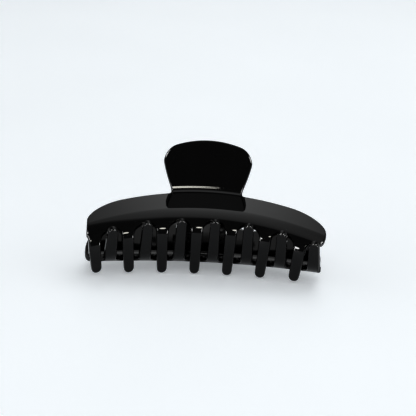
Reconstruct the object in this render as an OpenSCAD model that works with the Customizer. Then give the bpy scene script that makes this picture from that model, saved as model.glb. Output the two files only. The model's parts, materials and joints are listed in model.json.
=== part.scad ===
// Claw clip for the hair: two toothed jaws on a sprung hinge, lying closed
// on its back handle and its tooth tips.
//
// Frame: X runs along the clip, Y points back to the handles, Z points up.
// The origin is the middle of the footprint, on the surface the clip lies on.

/* [Jaw plate] */
// Length of the clip from end to end
clip_length = 105; // [100:1:112]
// Thickness of the plate that each jaw is made of
plate_thickness = 3; // [2.4:0.1:3.4]
// How far the ends of a jaw come forward of its middle
bow_forward = 10.2; // [6:0.1:12]
// How far the ends of a jaw come closer to the other jaw
bow_inward = 4.5; // [3:0.1:6]
// How much shorter a jaw is at the end where its first tooth is
first_end_inset = 0.8; // [0:0.1:1]
// Radius of the outer face where the back turns into the teeth
shoulder_radius = 10.4; // [9:0.1:12]
// Length of the flat back between the handle and the shoulder
back_length = 15.8; // [14:0.1:17]
// Slope of the flat back towards the handle, in degrees
back_slope = 7.5; // [4:0.5:9]

/* [Teeth] */
// Teeth on each jaw
tooth_count = 7; // [7]
// Distance between neighbouring teeth of one jaw
tooth_pitch = 14.85; // [14.4:0.05:15]
// Length of the middle teeth below the arches between them
tooth_length = 26.9; // [24:0.1:28]
// How much shorter a tooth at the very end of the jaw would be
tooth_shortening = 8.5; // [6:0.1:10]
// Width of a tooth at its root
tooth_root_width = 5.3; // [5:0.1:6]
// Width of a tooth at its round tip
tooth_tip_width = 4.5; // [4:0.1:4.9]
// Share by which the row of tips is shorter than the row of roots
tooth_gather = 0.05; // [0:0.01:0.06]
// How far the tips lean towards the end of the first tooth
tooth_lean = 0.45; // [0:0.05:0.6]
// How much closer the first tooth stands to the second
first_tooth_inset = 0.5; // [0:0.1:0.8]

/* [Handle] */
// Width of the handle where it leaves the jaw
handle_root_width = 31.8; // [28:0.1:34]
// Width of the handle near its tip
handle_tip_width = 39.8; // [36:0.1:42]
// Length of the flat handle
handle_length = 22.3; // [20:0.1:24]
// Angle between the handle and the plane between the jaws
handle_angle = 45.5; // [42:0.5:50]
// Radius of the handle's two tip corners
handle_corner = 5.5; // [4:0.1:7]

/* [Hinge] */
// Diameter of the hinge pin
pin_diameter = 2; // [1.8:0.1:2.2]
// Outer diameter of the knuckles
knuckle_diameter = 4; // [3.8:0.1:4.2]
// Length of the hinge pin
pin_length = 27; // [26:0.5:28]
// Thickness of the sheet steel of the two leaves
leaf_thickness = 0.8; // [0.6:0.1:1]
// Wire of the torsion spring
wire_diameter = 0.9; // [0.8:0.1:0.9]

/* [Resting pose] */
// Tilt of the plane between the jaws, front down, in degrees
resting_tilt = 16.1; // [14:0.1:18]
// Height of the hinge pin above the surface
pin_height = 20.93; // [19:0.01:23]
// Distance of the hinge pin behind the middle of the footprint
pin_back = 3.9; // [3:0.1:6]

/* [Hidden] */

half_length = clip_length / 2;

// Side view of a jaw, seen along X: w points back, v away from the other jaw.
// The hinge pin is at w = 0, v = 0. "run" is the distance along the outer
// face from the back edge, and grows towards the tooth tips.
shoulder_w = -15.2;
shoulder_v = 2.55;
arch_angle = 56;
tooth_angle = 2;
back_angle = 90 + back_slope;
handle_bend = 2.5;
bend_turn = handle_angle + back_slope;
bend_run = handle_bend * bend_turn * PI / 180;
shoulder_run = shoulder_radius * (back_angle - tooth_angle) * PI / 180;
teeth_start = back_length + shoulder_run;
arch_run = back_length + shoulder_radius * (back_angle - arch_angle) * PI / 180;

// A direction in the side view, measured from straight forward, up and back
function toward(angle) = [-cos(angle), sin(angle)];
shoulder_centre = [shoulder_w, shoulder_v];
shoulder_end = shoulder_centre + shoulder_radius * toward(tooth_angle);
back_start = shoulder_centre + shoulder_radius * toward(back_angle);
back_end = back_start + back_length * toward(back_angle + 90);
bend_centre = back_end + handle_bend * toward(back_angle);
bend_end = bend_centre - handle_bend * toward(back_angle - bend_turn);

// Outward direction of the outer face, as an angle in the side view
function face_angle(run) =
    run >= teeth_start ? tooth_angle
    : run >= back_length ? back_angle - (run - back_length) / shoulder_radius * 180 / PI
    : run >= 0 ? back_angle
    : run >= -bend_run ? back_angle + run / handle_bend * 180 / PI
    : back_angle - bend_turn;

// Point of the outer face in the side view of the jaw's middle
function face_point(run) =
    run >= teeth_start ? shoulder_end + (run - teeth_start) * toward(tooth_angle - 90)
    : run >= back_length ? shoulder_centre + shoulder_radius * toward(face_angle(run))
    : run >= 0 ? back_end + run * toward(back_angle - 90)
    : run >= -bend_run ? bend_centre - handle_bend * toward(face_angle(run))
    : bend_end - (run + bend_run) * toward(back_angle - bend_turn + 90);

// Point of the plate at x and run, "depth" below the outer face. The side
// view slides forward and inward towards the ends, so the plate is bowed.
function plate_point(across, run, depth) =
    let (x = across + first_end_inset * pow(max(0, -across / half_length), 3),
         share = pow(x / half_length, 2),
         face = face_point(run) - share * [bow_forward, bow_inward],
         angle = face_angle(run),
         along = [1, -2 * bow_forward * x / pow(half_length, 2),
                  -2 * bow_inward * x / pow(half_length, 2)],
         down = [0, -sin(angle), -cos(angle)],
         inward = cross(along, down))
    [x, face[0], face[1]] + depth * inward / norm(inward);

// Quarter of an ellipse: 1 at share 0, falling to 0 at share 1
function quarter(share) = sqrt(max(0, 1 - share * share));
function blend(a, b, share) = a + (b - a) * share;

// Outline of the back edge: straight, with a long rounded corner at each end
corner_length = 14.6;
corner_depth = 11.5;
function back_edge(x) =
    corner_depth * (1 - quarter(max(0, (abs(x) - half_length + corner_length) / corner_length)));

// Handle: rows from the root out to the tip, columns from side to side
handle_columns = 12;
handle_rows = 10;
bend_rows = 4;
tip_rise = 3.5;
flare_roundness = 0.3;
function handle_reach(x) =
    let (half = handle_tip_width / 2,
         past = max(0, abs(x) - half + handle_corner) / handle_corner)
    handle_length - tip_rise * pow(x / half, 2) - handle_corner * (1 - quarter(past));
function handle_spot(row, column) =
    let (side = sin(90 * (2 * column / handle_columns - 1)),
         share = max(0, (row - bend_rows) / (handle_rows - bend_rows)),
         flare = blend(share, sin(90 * share), flare_roundness),
         half = blend(handle_root_width, handle_tip_width, flare) / 2,
         bend = min(1, row / bend_rows) * bend_run)
    [side * half, -bend - share * handle_reach(side * handle_tip_width / 2)];

// Teeth: rows from the arches down to the tip, columns across one tooth
tooth_columns = 6;
arch_rows = 4;
shank_rows = 5;
tip_rows = 5;
tooth_rows = arch_rows + shank_rows + tip_rows;
last_tip_angle = 82;
arch_radius = (tooth_pitch - tooth_root_width) / 2;
first_tooth = -(tooth_count - 1) / 2 * tooth_pitch - tooth_pitch / 4;
end_flank = 51.5 / 52.5 * half_length;
function tooth_x(tooth) =
    first_tooth + tooth * tooth_pitch + (tooth == 0 ? first_tooth_inset : 0);
function tooth_end(tooth) =
    arch_run + tooth_length - tooth_shortening * pow(tooth_x(tooth) / half_length, 2);
function row_run(tooth, row) =
    let (shank_start = arch_run + arch_radius,
         tip_start = tooth_end(tooth) - tooth_tip_width / 2,
         tip_share = (row - arch_rows - shank_rows) / tip_rows)
    row <= arch_rows ? arch_run + arch_radius * (1 - cos(90 * row / arch_rows))
    : row <= arch_rows + shank_rows
        ? blend(shank_start, tip_start, (row - arch_rows) / shank_rows)
    : tip_start + tooth_tip_width / 2 * sin(last_tip_angle * tip_share);
// Half of the tooth's width in a row, where "reach" is its half at the arches
function row_half(row, reach) =
    let (root = tooth_root_width / 2, tip = tooth_tip_width / 2,
         tip_share = (row - arch_rows - shank_rows) / tip_rows)
    row <= arch_rows ? reach - (reach - root) * sin(90 * row / arch_rows)
    : row <= arch_rows + shank_rows ? blend(root, tip, (row - arch_rows) / shank_rows)
    : tip * cos(last_tip_angle * tip_share);
function tooth_spot(tooth, row, column) =
    let (side = 2 * column / tooth_columns - 1,
         arch_edge = first_tooth + (tooth + sign(side) / 2) * tooth_pitch,
         edge = tooth == 0 && side < 0 ? -end_flank : arch_edge,
         run = row_run(tooth, row),
         share = (run - arch_run) / tooth_length,
         half = row_half(row, abs(edge - tooth_x(tooth))))
    [(tooth_x(tooth) + side * half) * (1 - tooth_gather * share) - tooth_lean * share, run];

// Back: rows from the back edge to the arches, columns from end to end. Its
// lower edge shares the teeth's points, its back edge shares the handle's.
lobe_columns = 5;
columns = tooth_count * tooth_columns + lobe_columns;
back_rows = 12;
handle_start = 17;
lobe_start = tooth_x(tooth_count - 1) + tooth_pitch / 2;
lobe_run = 12;
function lower_spot(column) =
    let (tooth = min(tooth_count - 1, floor(column / tooth_columns)),
         lobe = (column - tooth_count * tooth_columns) / lobe_columns,
         share = sin(90 * lobe))
    lobe <= 0 ? tooth_spot(tooth, 0, column - tooth * tooth_columns)
    : [blend(lobe_start, half_length, share), blend(lobe_run, arch_run, quarter(share))];
function upper_spot(column) =
    let (past = column - handle_start - handle_columns,
         left = (handle_start - column) / handle_start,
         right = past / (columns - handle_start - handle_columns),
         share = sin(90 * max(left, right)),
         x = blend(handle_root_width / 2, half_length, share) * (left > 0 ? -1 : 1))
    left <= 0 && past <= 0 ? handle_spot(0, column - handle_start) : [x, back_edge(x)];
function back_spot(row, column) =
    blend(upper_spot(column), lower_spot(column), row / back_rows);

// A patch is [spots, number of columns]; its spots are listed row by row
handle_patch = [[for (row = [0:handle_rows], column = [handle_columns:-1:0])
                     handle_spot(row, column)], handle_columns];
back_patch = [[for (row = [0:back_rows], column = [0:columns])
                   back_spot(row, column)], columns];
function tooth_patch(tooth) = [[for (row = [0:tooth_rows], column = [0:tooth_columns])
                                    tooth_spot(tooth, row, column)], tooth_columns];
patches = [back_patch, handle_patch,
           for (tooth = [0:tooth_count - 1]) tooth_patch(tooth)];

// Faces of one patch: outer face, inner face and the walls of its free edges
function patch_faces(patch, first, total, walls) =
    let (wide = patch[1] + 1, rows = len(patch[0]) / wide - 1)
    [for (row = [0:rows - 1], column = [0:patch[1] - 1])
         let (a = first + row * wide + column, b = a + wide)
         each [[a, a + 1, b + 1, b], [a + total, b + total, b + 1 + total, a + 1 + total]],
     for (edge = walls)
         [edge[0] + first, edge[0] + first + total, edge[1] + first + total, edge[1] + first]];
// Free edges, each as a pair of spots in the order that goes round the patch
function side_edges(wide, rows) =
    [for (row = [0:rows - 1])
         each [[(row + 1) * wide, row * wide],
               [(row + 1) * wide - 1, (row + 2) * wide - 1]]];
function last_edges(wide, rows) =
    [for (column = [0:wide - 2]) [rows * wide + column + 1, rows * wide + column]];
back_edges = [each side_edges(columns + 1, back_rows),
              for (column = [0:columns - 1])
                  if (column < handle_start || column >= handle_start + handle_columns)
                      [column, column + 1],
              for (column = [tooth_count * tooth_columns:columns - 1])
                  back_rows * (columns + 1) * [1, 1] + [column + 1, column]];
handle_edges = [each side_edges(handle_columns + 1, handle_rows),
                each last_edges(handle_columns + 1, handle_rows)];
tooth_edges = [each side_edges(tooth_columns + 1, tooth_rows),
               each last_edges(tooth_columns + 1, tooth_rows)];

// One jaw in the side view's frame, its outer face up
module jaw() {
    spots = [for (patch = patches) each patch[0]];
    sizes = [for (patch = patches) len(patch[0])];
    starts = [for (i = 0, sum = 0; i < len(sizes); sum = sum + sizes[i], i = i + 1) sum];
    edges = [back_edges, handle_edges, for (tooth = [0:tooth_count - 1]) tooth_edges];
    points = [for (depth = [0, plate_thickness], spot = spots)
                  plate_point(spot[0], spot[1], depth)];
    faces = [for (i = [0:len(patches) - 1])
                 each patch_faces(patches[i], starts[i], len(spots), edges[i])];
    polyhedron(points, faces, convexity = 10);
}

// Hinge: each leaf is a strip of sheet steel in the side view's frame, turned
// about the pin so that its flange lies along the inside of the jaw's back
leaf_width = 24;
flange_width = 20;
flange_front = -11;
knuckle_length = 2.85;
pin_play = 0.05;
web_start = 3.3;
spring_window = 11.6;
bow_gap = 0.25;
back_height = back_end * toward(back_angle);
flange_height = back_height - plate_thickness - bow_gap;
web_back = knuckle_diameter / 2;
knuckle_starts = [-leaf_width / 2, leaf_width / 4];
stud_spots = [[-7, -8], [7, -8], [-7, -2.5], [7, -2.5]];
stud_diameter = 1.6;
stud_head_diameter = 3;
stud_head_height = 0.6;
stud_depth = 2;

// A box from one corner to the opposite corner
module block(from, to) {
    translate(from) cube(to - from);
}

module hinge_leaf() {
    rotate([-back_slope, 0, 0]) difference() {
        union() {
            block([-flange_width / 2, flange_front, flange_height - leaf_thickness],
                  [flange_width / 2, web_back, flange_height]);
            block([-leaf_width / 2, web_back - leaf_thickness, web_start],
                  [leaf_width / 2, web_back, flange_height]);
            for (start = knuckle_starts) translate([start, 0, 0]) {
                block([0, web_back - leaf_thickness, 0], [knuckle_length, web_back, web_start]);
                rotate([0, 90, 0]) cylinder(h = knuckle_length, d = knuckle_diameter, $fn = 48);
            }
        }
        for (start = knuckle_starts) translate([start - 1, 0, 0])
            rotate([0, 90, 0])
                cylinder(h = knuckle_length + 2, d = pin_diameter + 2 * pin_play, $fn = 48);
        block([-spring_window / 2, web_back - 2 * leaf_thickness, web_start - 1],
              [spring_window / 2, web_back + 1, flange_height - leaf_thickness]);
        for (spot = stud_spots) translate([spot[0], spot[1], flange_height - 2 * leaf_thickness])
            cylinder(h = 3 * leaf_thickness, d = stud_diameter + 2 * pin_play, $fn = 32);
    }
}

// Studs that hold a leaf: a flat head inside the clip, a peg set into the jaw
module leaf_studs() {
    rotate([-back_slope, 0, 0]) for (spot = stud_spots)
        translate([spot[0], spot[1], flange_height - leaf_thickness]) {
            translate([0, 0, -stud_head_height])
                cylinder(h = stud_head_height, d = stud_head_diameter, $fn = 32);
            cylinder(h = leaf_thickness + bow_gap + stud_depth, d = stud_diameter, $fn = 32);
        }
}

// Torsion spring: close turns round the pin, and a leg along each handle
coil_radius = 1.7;
coil_pitch = 0.97;
coil_turn = 3600 + 2 * (90 - handle_angle);
coil_steps = 20;
leg_length = 14;
leg_steps = 4;
wire_sides = 8;
coil_rings = round(coil_turn / 360 * coil_steps);
coil_half = coil_turn / 360 * coil_pitch / 2;
function coil_spot(share) =
    let (angle = coil_turn * (share - 0.5))
    [coil_half * (2 * share - 1), -coil_radius * cos(angle), coil_radius * sin(angle)];
function leg_spot(side, share) =
    coil_spot(side > 0 ? 1 : 0)
        + share * leg_length * [0, cos(handle_angle), side * sin(handle_angle)];
spring_path = [for (i = [leg_steps:-1:1]) leg_spot(-1, i / leg_steps),
               for (i = [0:coil_rings]) coil_spot(i / coil_rings),
               for (i = [1:leg_steps]) leg_spot(1, i / leg_steps)];

// A wire of round section along a path that never runs along X
module wire(path, diameter) {
    last = len(path) - 1;
    rings = [for (i = [0:last])
                 let (ahead = path[min(i + 1, last)] - path[max(i - 1, 0)],
                      across = cross(ahead, [1, 0, 0]),
                      up = across / norm(across),
                      side = cross(up, ahead) / norm(ahead))
                 for (k = [0:wire_sides - 1])
                     path[i] + diameter / 2
                         * (cos(360 * k / wire_sides) * up + sin(360 * k / wire_sides) * side)];
    sides = [for (i = [0:last - 1], k = [0:wire_sides - 1])
                 let (a = i * wire_sides, b = a + wire_sides, next = (k + 1) % wire_sides)
                 [a + k, a + next, b + next, b + k]];
    ends = [[for (k = [wire_sides - 1:-1:0]) k],
            [for (k = [0:wire_sides - 1]) last * wire_sides + k]];
    polyhedron(rings, concat(sides, ends), convexity = 10);
}

// Turns the upper jaw's piece over to make the lower jaw's
module turned_over() {
    rotate([0, 180, 0]) children();
}

// Puts a piece from the side view's frame into the resting pose
module resting() {
    translate([0, pin_back, pin_height]) rotate([resting_tilt, 0, 0]) children();
}

module lower_jaw() {
    color([0.02, 0.02, 0.02]) resting() turned_over() jaw();
}

module upper_jaw() {
    color([0.02, 0.02, 0.02]) resting() jaw();
}

module lower_hinge_leaf() {
    color([0.08, 0.08, 0.08]) resting() turned_over() hinge_leaf();
}

module upper_hinge_leaf() {
    color([0.08, 0.08, 0.08]) resting() hinge_leaf();
}

module lower_leaf_studs() {
    color([0.12, 0.12, 0.12]) resting() turned_over() leaf_studs();
}

module upper_leaf_studs() {
    color([0.12, 0.12, 0.12]) resting() leaf_studs();
}

module hinge_pin() {
    head_height = 1;
    head_diameter = 3;
    color([0.8, 0.81, 0.83]) resting() rotate([0, 90, 0]) {
        cylinder(h = pin_length - 2 * head_height, d = pin_diameter, center = true, $fn = 48);
        for (end = [-1, 1]) translate([0, 0, end * (pin_length - head_height) / 2])
            cylinder(h = head_height, d = head_diameter, center = true, $fn = 48);
    }
}

module torsion_spring() {
    color([0.62, 0.63, 0.65]) resting() wire(spring_path, wire_diameter);
}

lower_jaw();
upper_jaw();
lower_hinge_leaf();
upper_hinge_leaf();
hinge_pin();
torsion_spring();
lower_leaf_studs();
upper_leaf_studs();
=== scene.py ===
"""Looks of the claw clip: two polished black jaws, their steel hinge, a table and studio light.

The jaws and the spring are modelled here in mm, about the pin, in the side view's frame: x along
the clip, y back, z up with the plane between the jaws level. resting() puts them in the row
frame. "run" is the distance along a jaw's outer face from its back edge, towards the tooth tips.
"""

import json
import math

import bpy
import numpy as np
from mathutils import Matrix, Vector
from mathutils.geometry import delaunay_2d_cdt


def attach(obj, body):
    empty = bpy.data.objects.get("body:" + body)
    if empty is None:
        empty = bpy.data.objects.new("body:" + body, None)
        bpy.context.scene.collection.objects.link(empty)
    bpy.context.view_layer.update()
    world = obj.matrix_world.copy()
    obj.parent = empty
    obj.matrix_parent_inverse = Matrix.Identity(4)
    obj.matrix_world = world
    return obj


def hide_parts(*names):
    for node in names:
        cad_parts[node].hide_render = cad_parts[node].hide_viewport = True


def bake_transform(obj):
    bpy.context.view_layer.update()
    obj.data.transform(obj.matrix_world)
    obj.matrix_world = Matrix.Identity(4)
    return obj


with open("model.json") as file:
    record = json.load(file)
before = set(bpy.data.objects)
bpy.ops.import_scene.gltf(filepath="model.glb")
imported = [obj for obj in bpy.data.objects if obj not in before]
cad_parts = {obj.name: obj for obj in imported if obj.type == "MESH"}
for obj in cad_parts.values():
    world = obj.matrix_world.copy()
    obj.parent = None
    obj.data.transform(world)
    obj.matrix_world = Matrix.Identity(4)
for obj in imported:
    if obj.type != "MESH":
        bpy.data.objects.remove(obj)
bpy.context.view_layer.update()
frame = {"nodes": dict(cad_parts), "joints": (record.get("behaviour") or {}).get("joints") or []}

LOWER, UPPER = "lower_half", "upper_half"
MM = 0.001
PIN = np.array(frame["joints"][0]["pos_m"])
TILT = math.radians(16.1)  # lean of the plane between the jaws, front down

# ---------------------------------------------------------------- jaw plate, in mm and degrees
HALF_LENGTH = 52.5
THICKNESS = 3.0
BOW_FORWARD = 10.2  # how far the ends come forward of the middle
BOW_INWARD = 4.5  # how far the ends come closer to the other jaw
SHOULDER_RADIUS = 10.4
SHOULDER = np.array([-15.2, 2.55])  # centre of the shoulder's arc: (back, up)
BACK_LENGTH = 15.8
BACK_ANGLE = 97.5  # face angles: outward direction, from straight forward
ARCH_ANGLE = 56.0
TOOTH_ANGLE = 2.0
HANDLE_ANGLE = 45.5  # between the handle and the plane between the jaws
HANDLE_BEND = 2.5  # radius of the bend at the handle's root
BEND_TURN = HANDLE_ANGLE + BACK_ANGLE - 90
BEND_RUN = HANDLE_BEND * math.radians(BEND_TURN)
TEETH_START = BACK_LENGTH + SHOULDER_RADIUS * math.radians(BACK_ANGLE - TOOTH_ANGLE)
ARCH_RUN = BACK_LENGTH + SHOULDER_RADIUS * math.radians(BACK_ANGLE - ARCH_ANGLE)

TEETH = 7
PITCH = 14.85
TOOTH_LENGTH = 26.9  # of a tooth in the middle, from the arches
TOOTH_SHORTENING = 8.5  # of a tooth at the very end
TOOTH_ROOT = 2.65  # half widths
TOOTH_TIP = 2.25
GATHER = 0.05  # share by which the row of tips is shorter than the row of roots
TOOTH_LEAN = 0.45
FIRST_TOOTH = -3.25 * PITCH
FIRST_TOOTH_INSET = 0.5
FIRST_END_INSET = 0.8
END_FLANK = 51.5  # where the first tooth's outer arch starts

HANDLE_ROOT = 15.9  # half widths
HANDLE_TIP = 19.9
HANDLE_LENGTH = 22.3
HANDLE_CORNER = 5.5
HANDLE_RISE = 3.5  # how far the tip's middle stands out beyond its corners
HANDLE_FILLET = 1.3
FLARE_STRAIGHT, FLARE_ROUND = 0.7, 0.3  # shares of the handle's flare

CORNER_LENGTH = 14.6  # long rounded corners of the back edge
CORNER_DEPTH = 11.5
LOBE_RUN = 12.0  # run at which the free end starts to round under


def toward(angle):
    """Unit vector (back, up) of the side view, for an angle from straight forward."""
    turn = np.radians(angle)
    return np.stack([-np.cos(turn), np.sin(turn)], axis=-1)


BACK_START = SHOULDER + SHOULDER_RADIUS * toward(BACK_ANGLE)
BACK_END = BACK_START + BACK_LENGTH * toward(BACK_ANGLE + 90)
BEND_CENTRE = BACK_END + HANDLE_BEND * toward(BACK_ANGLE)
BEND_END = BEND_CENTRE - HANDLE_BEND * toward(BACK_ANGLE - BEND_TURN)
SHOULDER_END = SHOULDER + SHOULDER_RADIUS * toward(TOOTH_ANGLE)


def face(run):
    """Outer face in the side view at each run: points, and face angles in degrees."""
    stretches = [run >= TEETH_START, run >= BACK_LENGTH, run >= 0, run >= -BEND_RUN]
    angle = np.select(
        stretches,
        [
            np.full_like(run, TOOTH_ANGLE),
            BACK_ANGLE - np.degrees((run - BACK_LENGTH) / SHOULDER_RADIUS),
            np.full_like(run, BACK_ANGLE),
            BACK_ANGLE + np.degrees(run / HANDLE_BEND),
        ],
        BACK_ANGLE - BEND_TURN,
    )
    along = toward(angle - 90)
    point = np.select(
        [s[..., None] for s in stretches],
        [
            SHOULDER_END + (run - TEETH_START)[..., None] * along,
            SHOULDER + SHOULDER_RADIUS * toward(angle),
            BACK_END + run[..., None] * along,
            BEND_CENTRE - HANDLE_BEND * toward(angle),
        ],
        BEND_END + (run + BEND_RUN)[..., None] * along,
    )
    return point, angle


def plate(x, run):
    """Outer face of the bowed plate: points, outward normals, and directions along x and run."""
    point, angle = face(run)
    share = (x / HALF_LENGTH) ** 2
    point = point - share[:, None] * np.array([BOW_FORWARD, BOW_INWARD])
    slope = -2 * x / HALF_LENGTH**2
    along_x = np.stack([np.ones_like(x), slope * BOW_FORWARD, slope * BOW_INWARD], axis=1)
    along_x /= np.linalg.norm(along_x, axis=1)[:, None]
    down = toward(angle - 90)
    along_run = np.stack([np.zeros_like(x), down[:, 0], down[:, 1]], axis=1)
    normal = np.cross(along_run, along_x)
    normal /= np.linalg.norm(normal, axis=1)[:, None]
    return np.column_stack([x, point]), normal, along_x, along_run


def turned(vectors):
    """Directions in the side view's frame to directions in the row frame."""
    return vectors @ np.array(Matrix.Rotation(TILT, 3, "X")).T


def resting(points):
    """Points in mm about the pin, in the side view's frame, to metres in the row frame."""
    return turned(points) * MM + PIN


# ---------------------------------------------------------------- outline of a jaw
SHARES = np.linspace(0, 1, 41)
QUARTER_TURN = SHARES * math.pi / 2
OUTLINE_SPACING = 0.36
KINK_PASSES = 4


def back_corner(side):
    """Long rounded corner of the back edge, from the straight edge out to the end."""
    x = HALF_LENGTH - CORNER_LENGTH + CORNER_LENGTH * np.sin(QUARTER_TURN)
    return np.column_stack([side * x, CORNER_DEPTH * (1 - np.cos(QUARTER_TURN))])


def handle_side(side):
    """One side of the handle, from its fillet at the back edge to the middle of its tip."""
    bulge = FLARE_STRAIGHT * SHARES + FLARE_ROUND * np.sin(QUARTER_TURN)
    fillet = np.column_stack(
        [
            HANDLE_ROOT + HANDLE_FILLET * (1 - np.sin(QUARTER_TURN)),
            -HANDLE_FILLET * (1 - np.cos(QUARTER_TURN)),
        ]
    )
    corner_start = HANDLE_LENGTH - HANDLE_RISE - HANDLE_CORNER
    flare = np.column_stack(
        [
            HANDLE_ROOT + (HANDLE_TIP - HANDLE_ROOT) * bulge,
            -BEND_RUN - SHARES * corner_start,
        ]
    )
    corner_x = HANDLE_TIP - HANDLE_CORNER * (1 - np.cos(QUARTER_TURN))
    corner_rise = HANDLE_CORNER * np.sin(QUARTER_TURN)
    tip_x = (HANDLE_TIP - HANDLE_CORNER) * (1 - SHARES)
    x = np.concatenate([corner_x, tip_x])
    rise = np.concatenate([corner_rise, np.full_like(tip_x, HANDLE_CORNER)])
    crown = HANDLE_RISE * (1 - (x / HANDLE_TIP) ** 2)
    top = np.column_stack([x, -BEND_RUN - corner_start - crown - rise])
    return np.concatenate([fillet, flare, top]) * (side, 1)


def tooth_side(tooth, side):
    """One side of a tooth, from the arch beside it to the middle of its tip."""
    middle = FIRST_TOOTH + tooth * PITCH + (FIRST_TOOTH_INSET if tooth == 0 else 0)
    arch_edge = FIRST_TOOTH + (tooth + side / 2) * PITCH
    reach = abs((-END_FLANK if tooth == 0 and side < 0 else arch_edge) - middle)
    radius = PITCH / 2 - TOOTH_ROOT
    end = ARCH_RUN + TOOTH_LENGTH - TOOTH_SHORTENING * (middle / HALF_LENGTH) ** 2
    tip_start = end - TOOTH_TIP
    arch = np.column_stack(
        [
            reach - (reach - TOOTH_ROOT) * np.sin(QUARTER_TURN),
            ARCH_RUN + radius * (1 - np.cos(QUARTER_TURN)),
        ]
    )
    shank = np.column_stack(
        [
            TOOTH_ROOT + (TOOTH_TIP - TOOTH_ROOT) * SHARES,
            ARCH_RUN + radius + (tip_start - ARCH_RUN - radius) * SHARES,
        ]
    )
    tip = np.column_stack(
        [TOOTH_TIP * np.cos(QUARTER_TURN), tip_start + TOOTH_TIP * np.sin(QUARTER_TURN)]
    )
    spots = np.concatenate([arch, shank, tip])
    share = (spots[:, 1] - ARCH_RUN) / TOOTH_LENGTH
    x = (middle + side * spots[:, 0]) * (1 - GATHER * share) - TOOTH_LEAN * share
    return np.column_stack([x, spots[:, 1]])


def lobe():
    """Rounded lower corner of the free end, from the end back to the last arch."""
    start = FIRST_TOOTH + (TEETH - 0.5) * PITCH
    x = start + (HALF_LENGTH - start) * np.cos(QUARTER_TURN)
    return np.column_stack([x, LOBE_RUN + (ARCH_RUN - LOBE_RUN) * np.sin(QUARTER_TURN)])


def even_loop(loop, spacing):
    """A closed loop with points at even distances, its small kinks smoothed."""
    closed = np.vstack([loop, loop[:1]])
    length = np.concatenate([[0], np.cumsum(np.linalg.norm(np.diff(closed, axis=0), axis=1))])
    at = np.linspace(0, length[-1], int(length[-1] / spacing) + 1)[:-1]
    loop = np.column_stack([np.interp(at, length, closed[:, i]) for i in range(2)])
    for _ in range(KINK_PASSES):
        loop = (np.roll(loop, 1, axis=0) + 2 * loop + np.roll(loop, -1, axis=0)) / 4
    return loop


def jaw_outline():
    """Outline of a jaw's flat pattern as (x, run), clockwise with run pointing down."""
    parts = [back_corner(-1)[::-1], handle_side(-1), handle_side(1)[::-1], back_corner(1), lobe()]
    for tooth in reversed(range(TEETH)):
        parts += [tooth_side(tooth, 1), tooth_side(tooth, -1)[::-1]]
    loop = even_loop(np.concatenate(parts), OUTLINE_SPACING)
    loop[:, 0] += FIRST_END_INSET * np.maximum(0, -loop[:, 0] / HALF_LENGTH) ** 3
    return loop


# ---------------------------------------------------------------- jaw mesh
EDGE_RADIUS = 0.8  # of the rounded edges
EDGE_STEPS = 6
CROWN = math.radians(6)  # lean of the teeth's normals at their sides
CROWN_GROWTH = 3.0  # distance over which the crown grows, from the arches
ROLL = math.radians(9)  # lean of the normals in the middle of the roll
ROLL_START = 0.3 - BEND_RUN
ROLL_LENGTH = 1.6
GRID_X = 1.1
GRID_MARGIN = 0.5  # free of inner points along the outline
FLAT_STEP, BACK_STEP, SHOULDER_STEP, BEND_STEP = 1.6, 1.4, 0.7, 0.25  # between rows


def inside(points, loop):
    """Which points lie inside a closed loop."""
    x, y = points[:, :1], points[:, 1:]
    x0, y0 = loop[:, 0], loop[:, 1]
    x1, y1 = np.roll(loop, -1, axis=0).T
    rise = np.where(y1 == y0, 1e-12, y1 - y0)
    crosses = ((y0 > y) != (y1 > y)) & (x < (x1 - x0) * (y - y0) / rise + x0)
    return crosses.sum(axis=1) % 2 == 1


def filled(loop):
    """Triangles over a loop in (x, run): all spots, the loop's first, and triangles of indices."""
    rows = np.concatenate(
        [
            np.arange(loop[:, 1].min(), -BEND_RUN - 1, FLAT_STEP),
            np.arange(-BEND_RUN - 2, 1, BEND_STEP),  # overlaps the rows above by 1 mm
            np.arange(1, BACK_LENGTH - 1, BACK_STEP),
            np.arange(BACK_LENGTH - 1, TEETH_START + 1, SHOULDER_STEP),
            np.arange(TEETH_START + 1, loop[:, 1].max(), FLAT_STEP),
        ]
    )
    columns = np.arange(-HALF_LENGTH, HALF_LENGTH, GRID_X)
    grid = np.array([(x, run) for run in rows for x in columns])
    grid = grid[inside(grid, loop)]
    gap = np.sqrt(((grid[:, None, :] - loop[None, :, :]) ** 2).sum(axis=2)).min(axis=1)
    spots = np.concatenate([loop, grid[gap > GRID_MARGIN]])
    made = delaunay_2d_cdt(
        [Vector(spot) for spot in spots], [], [list(range(len(loop)))], 1, 1e-6
    )
    source = [ids[0] for ids in made[3]]
    return spots, np.array([[source[i] for i in triangle] for triangle in made[2]])


def polished(spots, up, along_x, along_run):
    """Outer normals with crowned teeth and a faint roll at the bend, in the shading only."""
    phase = 2 * math.pi * (spots[:, 0] - FIRST_TOOTH) / PITCH
    grown = np.clip((spots[:, 1] - ARCH_RUN) / CROWN_GROWTH, 0, 1)
    aside = (CROWN * np.sin(phase) * grown**2 * (3 - 2 * grown))[:, None]
    rolled = np.clip((ROLL_START - spots[:, 1]) / ROLL_LENGTH, 0, 1)
    down = (ROLL * np.sin(math.pi * rolled))[:, None]
    up = np.cos(down) * up + np.sin(down) * along_run
    return np.cos(aside) * up + np.sin(aside) * along_x


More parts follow.
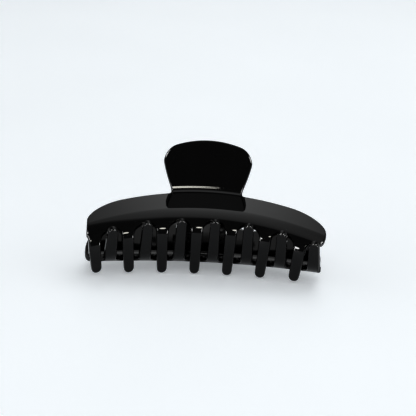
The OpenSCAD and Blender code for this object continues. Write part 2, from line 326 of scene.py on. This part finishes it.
def jaw_shape():
    """The upper jaw, about the pin in mm: points, normals, faces, inner faces and rim shares.

    The first points are rings over the rounded edge, from the outer face round to the inner one.
    Then come the points inside the outline, of the outer face and of the inner one.
    """
    loop = jaw_outline()
    ahead = np.roll(loop, -1, axis=0) - np.roll(loop, 1, axis=0)
    ahead /= np.linalg.norm(ahead, axis=1)[:, None]
    inward = np.column_stack([-ahead[:, 1], ahead[:, 0]])
    count = len(loop)
    points, normals, faces = [], [], []
    turns = np.linspace(math.pi / 2, 0, EDGE_STEPS + 1)
    levels = [(turn, 1) for turn in turns] + [(turn, -1) for turn in turns[::-1]]
    for turn, side in levels:
        spots = loop + EDGE_RADIUS * (1 - math.cos(turn)) * inward
        from_face = EDGE_RADIUS * (1 - math.sin(turn))
        depth = from_face if side > 0 else THICKNESS - from_face
        at, level_up, along_x, along_run = plate(spots[:, 0], spots[:, 1])
        up = polished(spots, level_up, along_x, along_run) if side > 0 else level_up
        out = -(inward[:, :1] * along_x + inward[:, 1:] * along_run)
        out /= np.linalg.norm(out, axis=1)[:, None]
        points.append(at - depth * level_up)
        normals.append(side * math.sin(turn) * up + math.cos(turn) * out)
    for level in range(len(levels) - 1):
        for i in range(count):
            a, b = level * count + i, level * count + (i + 1) % count
            faces.append((a, b, b + count, a + count))
    spots, triangles = filled(loop + EDGE_RADIUS * inward)
    at, up, along_x, along_run = plate(spots[count:, 0], spots[count:, 1])
    rims = np.repeat([math.cos(turn) for turn, _ in levels], count)
    rims = np.concatenate([rims, np.zeros(2 * len(at))])
    inner_ring = (len(levels) - 1) * count
    outer_field = len(levels) * count
    inner_field = outer_field + len(at)
    points += [at, at - THICKNESS * up]
    normals += [polished(spots[count:], up, along_x, along_run), -up]
    corners = spots[triangles]
    edges = corners[:, 1:] - corners[:, :1]
    clockwise = edges[:, 0, 0] * edges[:, 1, 1] - edges[:, 0, 1] * edges[:, 1, 0] > 0
    triangles[clockwise] = triangles[clockwise][:, ::-1]
    outer = np.where(triangles < count, triangles, triangles - count + outer_field)
    inner = np.where(triangles < count, triangles + inner_ring, triangles - count + inner_field)
    faces += [tuple(t) for t in outer] + [tuple(t[::-1]) for t in inner]
    inner_faces = range(len(faces) - len(inner), len(faces))
    return np.concatenate(points), np.concatenate(normals), faces, inner_faces, rims


def new_piece(name, points, faces, materials, body):
    """A shaded mesh object in the row frame, which rides on a body when one is given."""
    mesh = bpy.data.meshes.new(name)
    mesh.from_pydata([tuple(p) for p in points], [], [tuple(int(i) for i in f) for f in faces])
    mesh.polygons.foreach_set("use_smooth", [True] * len(mesh.polygons))
    for material in materials:
        mesh.materials.append(material)
    piece = bpy.data.objects.new(name, mesh)
    bpy.context.scene.collection.objects.link(piece)
    if body:
        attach(piece, body)
    return piece


def make_jaws(finishes):
    """The upper jaw, and the lower one: the same piece turned over about the front-back line.

    The finishes are those of the outside and of the inner face, whose lower sheen is painted shade
    between the jaws.
    """
    points, normals, faces, inner_faces, rims = jaw_shape()
    for name, flip, body in (("upper_jaw", (1, 1, 1), UPPER), ("lower_jaw", (-1, 1, -1), LOWER)):
        at = resting(points * flip)
        piece = new_piece(name + "_plate", at, faces, finishes, body)
        for i in inner_faces:
            piece.data.polygons[i].material_index = 1
        piece.data.normals_split_custom_set_from_vertices(
            [tuple(n) for n in turned(normals * flip)]
        )
        rim = piece.data.attributes.new("rim", "FLOAT", "POINT")
        rim.data.foreach_set("value", rims)
        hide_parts(name)


# ---------------------------------------------------------------- torsion spring
COIL_RADIUS = 1.7
COIL_PITCH = 0.97
WHOLE_COILS = 10
COIL_TURN = math.radians(360 * WHOLE_COILS + 2 * (90 - HANDLE_ANGLE))
COIL_HALF = COIL_TURN / (2 * math.pi) * COIL_PITCH / 2
COIL_RINGS = 330
LEG_LENGTH = 14.0
LEG_RINGS = 12
WIRE_RADIUS = 0.45
WIRE_SIDES = 16
CAP_ANGLES = np.radians((30, 60, 84))  # of the rings that round the wire's ends


def coil_spot(share):
    """Point of the coil's centre line, from its left end at share 0 to its right end at 1."""
    angle = COIL_TURN * (share - 0.5)
    return np.array(
        [
            COIL_HALF * (2 * share - 1),
            -COIL_RADIUS * math.cos(angle),
            COIL_RADIUS * math.sin(angle),
        ]
    )


def leg_spot(side, share):
    """Point of a leg's centre line, on the left (side -1) or right (1), from coil to end."""
    lean = math.radians(HANDLE_ANGLE)
    along = np.array([0, math.cos(lean), side * math.sin(lean)])
    return coil_spot(max(side, 0)) + share * LEG_LENGTH * along


def spring_shape():
    """Points and faces of the spring's wire, with rounded ends."""
    leg = np.linspace(1, 1 / LEG_RINGS, LEG_RINGS)
    path = [leg_spot(-1, share) for share in leg]
    path += [coil_spot(i / COIL_RINGS) for i in range(COIL_RINGS + 1)]
    path += [leg_spot(1, share) for share in leg[::-1]]
    path = np.array(path)
    ahead = np.gradient(path, axis=0)
    ahead /= np.linalg.norm(ahead, axis=1)[:, None]
    up = np.cross(ahead, (1, 0, 0))
    up /= np.linalg.norm(up, axis=1)[:, None]
    side = np.cross(up, ahead)
    rings = [(path[i], up[i], side[i], WIRE_RADIUS) for i in range(len(path))]
    cap = [(WIRE_RADIUS * math.sin(a), WIRE_RADIUS * math.cos(a)) for a in CAP_ANGLES]
    first, last = rings[0], rings[-1]
    rings = [(first[0] - ahead[0] * reach, *first[1:3], r) for reach, r in cap[::-1]] + rings
    rings += [(last[0] + ahead[-1] * reach, *last[1:3], r) for reach, r in cap]
    around = 2 * math.pi * np.arange(WIRE_SIDES) / WIRE_SIDES
    cos, sin = np.cos(around)[:, None], np.sin(around)[:, None]
    points = np.concatenate([c + r * (cos * u + sin * s) for c, u, s, r in rings])
    faces = []
    for i in range(len(rings) - 1):
        for k in range(WIRE_SIDES):
            a, b = i * WIRE_SIDES + k, i * WIRE_SIDES + (k + 1) % WIRE_SIDES
            faces.append((a, b, b + WIRE_SIDES, a + WIRE_SIDES))
    faces.append(tuple(range(WIRE_SIDES))[::-1])
    faces.append(tuple((len(rings) - 1) * WIRE_SIDES + k for k in range(WIRE_SIDES)))
    return points, faces


def make_spring(material):
    """The spring's wire, its left leg along the lower jaw and its right leg along the upper one;
    it rides on neither jaw, so its legs keep their rest place.
    """
    points, faces = spring_shape()
    at = resting(points)
    piece = new_piece("torsion_spring_wire", at, faces, (material,), None)
    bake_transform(piece)
    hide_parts("torsion_spring")


# ---------------------------------------------------------------- materials
def nodes_of(name):
    """A new material with its node tree and its Principled shader."""
    material = bpy.data.materials.new(name)
    material.use_nodes = True
    tree = material.node_tree
    return material, tree, tree.nodes["Principled BSDF"]


def math_node(tree, operation, first, second=None):
    """A Math node on sockets or numbers."""
    node = tree.nodes.new("ShaderNodeMath")
    node.operation = operation
    for socket, value in zip(node.inputs, (first, second)):
        if isinstance(value, (int, float)):
            socket.default_value = value
        elif value:
            tree.links.new(value, socket)
    return node.outputs[0]


def pattern(tree, kind, scale):
    """A texture node in the piece's own coordinates, with so many repeats per metre."""
    place = tree.nodes.new("ShaderNodeTexCoord")
    node = tree.nodes.new(kind)
    node.inputs["Scale"].default_value = scale
    tree.links.new(place.outputs["Object"], node.inputs["Vector"])
    return node


def noise(tree, scale, detail=4.0):
    """Noise from 0 to 1, with so many repeats per metre."""
    node = pattern(tree, "ShaderNodeTexNoise", scale)
    node.inputs["Detail"].default_value = detail
    return node.outputs["Fac"]


def ramp(tree, value, low, high, low_at=0.3, high_at=0.7):
    """Colour from low to high as a value goes from low_at to high_at."""
    node = tree.nodes.new("ShaderNodeValToRGB")
    node.color_ramp.elements[0].position = low_at
    node.color_ramp.elements[0].color = (*low, 1)
    node.color_ramp.elements[1].position = high_at
    node.color_ramp.elements[1].color = (*high, 1)
    tree.links.new(value, node.inputs["Fac"])
    return node.outputs["Color"]


def greys(low, high):
    """Two greys for a ramp, from two numbers."""
    return (low,) * 3, (high,) * 3


def mixed(tree, factor, base, spots):
    """A base colour with another one where the factor is 1."""
    node = tree.nodes.new("ShaderNodeMix")
    node.data_type = "RGBA"
    node.inputs["B"].default_value = (*spots, 1)
    tree.links.new(factor, node.inputs["Factor"])
    tree.links.new(base, node.inputs["A"])
    return node.outputs["Result"]


def bump(tree, height, distance):
    """A bump of so many metres."""
    node = tree.nodes.new("ShaderNodeBump")
    node.inputs["Distance"].default_value = distance
    tree.links.new(height, node.inputs["Height"])
    return node.outputs["Normal"]


DUST_PLACES = 210  # cells per metre, each of which can hold a speck
DUST_SIZE = 0.03  # radius of a speck, in cells
DUST_FREE = 0.86  # share of the cells without one
DUST_COLOUR = (0.12, 0.12, 0.12)
SMEARING = 0.03  # added roughness of the smears
TUMBLING = 0.05  # added roughness of the rounded edges
WAVINESS = 0.02 * MM
GRAIN = 0.01 * MM
LACQUER_PEEL = 0.14  # added roughness of the lacquer's orange peel


def black_plastic(name, sheen, smoothest):
    """Deep black polished sheet: faint smears, a slight waviness and a rare speck of dust."""
    material, tree, shader = nodes_of(name)
    shader.inputs["IOR"].default_value = 1.5
    shader.inputs["Specular IOR Level"].default_value = sheen
    body = ramp(tree, noise(tree, 60), (0.0009, 0.0009, 0.001), (0.0022, 0.0022, 0.0025))
    specks = pattern(tree, "ShaderNodeTexVoronoi", DUST_PLACES)
    near = math_node(tree, "LESS_THAN", specks.outputs["Distance"], DUST_SIZE)
    rare = math_node(tree, "GREATER_THAN", specks.outputs["Color"], DUST_FREE)
    dust = math_node(tree, "MULTIPLY", near, rare)
    tree.links.new(mixed(tree, dust, body, DUST_COLOUR), shader.inputs["Base Color"])
    smear = ramp(tree, noise(tree, 110, 6), *greys(smoothest, smoothest + SMEARING), 0.45, 0.8)
    rim = tree.nodes.new("ShaderNodeAttribute")
    rim.attribute_name = "rim"
    tumbled = math_node(tree, "MULTIPLY", rim.outputs["Fac"], TUMBLING)
    tree.links.new(math_node(tree, "ADD", smear, tumbled), shader.inputs["Roughness"])
    tree.links.new(bump(tree, noise(tree, 55, 1), WAVINESS), shader.inputs["Normal"])
    return material


def plated_steel(name, tone):
    """Nickel-plated steel with the fine grain of its drawing."""
    material, tree, shader = nodes_of(name)
    shader.inputs["Metallic"].default_value = 1.0
    grain = noise(tree, 900, 3)
    dark = tuple(0.8 * c for c in tone)
    tree.links.new(ramp(tree, grain, dark, tone), shader.inputs["Base Color"])
    tree.links.new(ramp(tree, grain, *greys(0.2, 0.34)), shader.inputs["Roughness"])
    tree.links.new(bump(tree, grain, GRAIN), shader.inputs["Normal"])
    return material


def black_lacquer(name, roughness):
    """Satin black lacquer on stamped steel: orange peel, and a little wear to bare metal."""
    material, tree, shader = nodes_of(name)
    grain = noise(tree, 900, 3)
    tone = ramp(tree, noise(tree, 240, 5), (0.006, 0.006, 0.0065), (0.014, 0.014, 0.015))
    worn = ramp(tree, noise(tree, 420, 8), *greys(0, 1), 0.7, 0.74)
    tree.links.new(mixed(tree, worn, tone, (0.16, 0.155, 0.15)), shader.inputs["Base Color"])
    peel = ramp(tree, grain, *greys(roughness, roughness + LACQUER_PEEL))
    tree.links.new(peel, shader.inputs["Roughness"])
    tree.links.new(bump(tree, grain, GRAIN), shader.inputs["Normal"])
    return material


def finish_node(node, material, edge):
    """Gives a CAD node its material and broken edges."""
    piece = frame["nodes"][node]
    piece.data.materials.clear()
    piece.data.materials.append(material)
    bevel = piece.modifiers.new("broken_edges", "BEVEL")
    bevel.width = edge
    bevel.segments = 3
    bevel.limit_method = "ANGLE"
    bevel.angle_limit = math.radians(35)
    bevel.harden_normals = False


# ---------------------------------------------------------------- stage
TABLE_REACH = 4.0
TABLE_PAINTED_GLOW = 0.37

# Brightness of the ceiling against height in degrees, from the horizon behind the clip
CEILING = [
    (25, 0.75),
    (32, 0.95),
    (37, 0.7),
    (43, 0.76),
    (60, 1),
    (80, 1),
    (94, 0.82),
    (106, 0.54),
    (118, 0.26),
    (128, 0.05),
]
CEILING_LEVEL = 1.4
CEILING_MIDDLE = 0.02  # aside, which goes from -1 at the left to 1 at the right
CEILING_SPREAD = 0.245
CEILING_EDGE = (98, 108)  # heights between which the ceiling ends, straight ahead
CEILING_EDGE_SLOPE = 183  # degrees that its end is higher per unit aside
WALL_EDGE = (0.62, 0.86)  # aside
WALL_LEVEL = 0.8
ROOM_LEVEL = 0.19
ROOM_TINT = (0.985, 0.997, 1)

AIM = (0, -0.01, 0.02)
LAMP_DISTANCE = 0.9
# Height and angle to the right of the low box and the high box on each side, in degrees
BOXES = {"left": ((173, -45), (121, -27)), "right": ((173, 46), (126, 34))}


def table_top():
    """Matt white table under the clip, which glows a little: painted light that lifts the shadows
    on it.
    """
    material, tree, shader = nodes_of("table_paint")
    tone = ramp(tree, noise(tree, 6), (0.83, 0.86, 0.885), (0.85, 0.88, 0.905))
    tree.links.new(tone, shader.inputs["Base Color"])
    # The table glows in its own tone: painted light, from no lamp, that lifts its shadows.
    tree.links.new(tone, shader.inputs["Emission Color"])
    shader.inputs["Emission Strength"].default_value = TABLE_PAINTED_GLOW
    shader.inputs["Roughness"].default_value = 0.7
    shader.inputs["Specular IOR Level"].default_value = 0.25
    signs = ((-1, -1), (1, -1), (1, 1), (-1, 1))
    corners = [(x * TABLE_REACH, y * TABLE_REACH, 0) for x, y in signs]
    mesh = bpy.data.meshes.new("table")
    mesh.from_pydata(corners, [], [(0, 1, 2, 3)])
    mesh.materials.append(material)
    table = bpy.data.objects.new("table", mesh)
    bpy.context.scene.collection.objects.link(table)


def eased(tree, value, start, end):
    """0 before start, 1 after end, smooth between them."""
    node = tree.nodes.new("ShaderNodeMapRange")
    node.interpolation_type = "SMOOTHSTEP"
    tree.links.new(value, node.inputs["Value"])
    node.inputs["From Min"].default_value = start
    node.inputs["From Max"].default_value = end
    return node.outputs["Result"]


def studio_world():
    """Room light: a bright ceiling behind and above the clip, white side walls, a dim front.

    The height runs in degrees from the horizon behind the clip, over it, to the one in front.
    """
    world = bpy.data.worlds.new("studio")
    bpy.context.scene.world = world
    world.use_nodes = True
    tree = world.node_tree
    place = tree.nodes.new("ShaderNodeTexCoord")
    split = tree.nodes.new("ShaderNodeSeparateXYZ")
    tree.links.new(place.outputs["Generated"], split.inputs["Vector"])
    aside = split.outputs["X"]
    height = math_node(tree, "ARCTAN2", split.outputs["Z"], split.outputs["Y"])
    height = math_node(tree, "MULTIPLY", height, 180 / math.pi)
    ceiling = tree.nodes.new("ShaderNodeValToRGB")
    tree.links.new(math_node(tree, "DIVIDE", height, 180), ceiling.inputs["Fac"])
    elements = ceiling.color_ramp.elements
    while len(elements) < len(CEILING):
        elements.new(0.5)
    for element, (degrees, level) in zip(elements, CEILING):
        element.position = degrees / 180
        element.color = (level, level, level, 1)
    off_centre = math_node(tree, "SUBTRACT", aside, CEILING_MIDDLE)
    off_centre = math_node(tree, "DIVIDE", off_centre, CEILING_SPREAD)
    spread = math_node(tree, "MULTIPLY", off_centre, off_centre)
    spread = math_node(tree, "EXPONENT", math_node(tree, "MULTIPLY", spread, -1))
    slanted = math_node(tree, "MULTIPLY", aside, CEILING_EDGE_SLOPE)
    past_edge = math_node(tree, "SUBTRACT", height, slanted)
    kept = math_node(tree, "SUBTRACT", 1, eased(tree, past_edge, *CEILING_EDGE))
    bright = math_node(tree, "MULTIPLY", ceiling.outputs["Color"], spread)
    bright = math_node(tree, "MULTIPLY", math_node(tree, "MULTIPLY", bright, kept), CEILING_LEVEL)
    walls = eased(tree, math_node(tree, "ABSOLUTE", aside), *WALL_EDGE)
    light = math_node(tree, "ADD", bright, math_node(tree, "MULTIPLY", walls, WALL_LEVEL))
    light = math_node(tree, "ADD", light, ROOM_LEVEL)
    background = tree.nodes["Background"]
    background.inputs["Color"].default_value = (*ROOM_TINT, 1)
    tree.links.new(light, background.inputs["Strength"])


def panel(name, spot, size, power, colour=(1, 1, 1), mirrored=True):
    """A soft light aimed at the clip, which either shows as a reflection or lights the table."""
    light = bpy.data.lights.new(name, "AREA")
    light.shape = "ELLIPSE"
    light.size, light.size_y = size
    light.energy = power
    light.color = colour
    lamp = bpy.data.objects.new(name, light)
    lamp.location = spot
    lamp.rotation_euler = (Vector(AIM) - Vector(spot)).to_track_quat("-Z", "Y").to_euler()
    lamp.visible_camera = False
    lamp.visible_glossy = mirrored
    lamp.visible_diffuse = not mirrored
    bpy.context.scene.collection.objects.link(lamp)


def lamp_spot(height, aside):
    """Where a lamp stands: its height as in studio_world, and its angle to the right."""
    h, a = math.radians(height), math.radians(aside)
    direction = (math.sin(a), math.cos(h) * math.cos(a), math.sin(h) * math.cos(a))
    return tuple(AIM[i] + LAMP_DISTANCE * direction[i] for i in range(3))


def make_lights():
    """The room, two lights for the table, and lamps that show as highlights on the clip."""
    studio_world()
    panel("overhead", (0.5, 0.6, 1.1), (1.0, 0.8), 3.0, mirrored=False)
    panel("front_fill", (-0.05, -0.8, 0.8), (0.7, 0.5), 1.7, mirrored=False)
    panel("warm_lamp", lamp_spot(154, 5.8), (0.19, 0.09), 1.3, (1, 0.98, 0.9))
    panel("corner_lamp", lamp_spot(168, -21), (0.2, 0.14), 2.4)
    for side, (low, high) in BOXES.items():
        panel(side + "_low_box", lamp_spot(*low), (0.3, 0.16), 5)
        panel(side + "_high_box", lamp_spot(*high), (0.3, 0.3), 14)


# ---------------------------------------------------------------- camera
CAMERA_ANGLES = (-1.0, 17.9, -3.15)  # azimuth, elevation and roll in degrees
CAMERA_DISTANCE = 0.5237
FOCAL_LENGTH = 103.8
FRONT = np.array([0, -21.0, 0])  # between the jaws, in mm in the side view's frame
AIM_RIGHT, AIM_UP = 1.4, 14.7  # from the front point to the picture's middle, in mm


def make_camera():
    """Looks down at the teeth, slightly from the left and slightly rolled."""
    azimuth, elevation, roll = (math.radians(angle) for angle in CAMERA_ANGLES)
    right = Vector((math.cos(azimuth), math.sin(azimuth), 0))
    back = Vector(
        (
            math.sin(azimuth) * math.cos(elevation),
            -math.cos(azimuth) * math.cos(elevation),
            math.sin(elevation),
        )
    )
    up = back.cross(right)
    right, up = (
        right * math.cos(roll) - up * math.sin(roll),
        right * math.sin(roll) + up * math.cos(roll),
    )
    aim = Vector(resting(FRONT)) + right * AIM_RIGHT * MM + up * AIM_UP * MM
    camera = bpy.data.cameras.new("camera")
    camera.lens = FOCAL_LENGTH
    camera.clip_start = 0.01
    view = bpy.data.objects.new("camera", camera)
    spot = aim + back * CAMERA_DISTANCE
    view.matrix_world = Matrix(
        (
            (right.x, up.x, back.x, spot.x),
            (right.y, up.y, back.y, spot.y),
            (right.z, up.z, back.z, spot.z),
            (0, 0, 0, 1),
        )
    )
    bpy.context.scene.collection.objects.link(view)
    bpy.context.scene.camera = view


# ---------------------------------------------------------------- scene
bpy.context.scene.view_settings.view_transform = "Standard"
bpy.context.scene.view_settings.gamma = 0.75
make_camera()
outside = black_plastic("black_plastic", sheen=0.32, smoothest=0.02)
# A copy of the black plastic for the jaws' inner faces, with less sheen and a little more
# roughness: the lower sheen darkens the inside between the jaws as painted shade.
inner_face_shaded = black_plastic("inner_plastic_shaded", sheen=0.2, smoothest=0.08)
make_jaws((outside, inner_face_shaded))
wire_steel = plated_steel("wire_steel", tone=(0.4, 0.37, 0.33))
leaf_lacquer = black_lacquer("leaf_lacquer", roughness=0.3)
stud_lacquer = black_lacquer("stud_lacquer", roughness=0.22)
make_spring(wire_steel)
for half in ("lower", "upper"):
    finish_node(half + "_hinge_leaf", leaf_lacquer, edge=0.12 * MM)
    finish_node(half + "_leaf_studs", stud_lacquer, edge=0.15 * MM)
finish_node("hinge_pin", wire_steel, edge=0.2 * MM)
table_top()
make_lights()
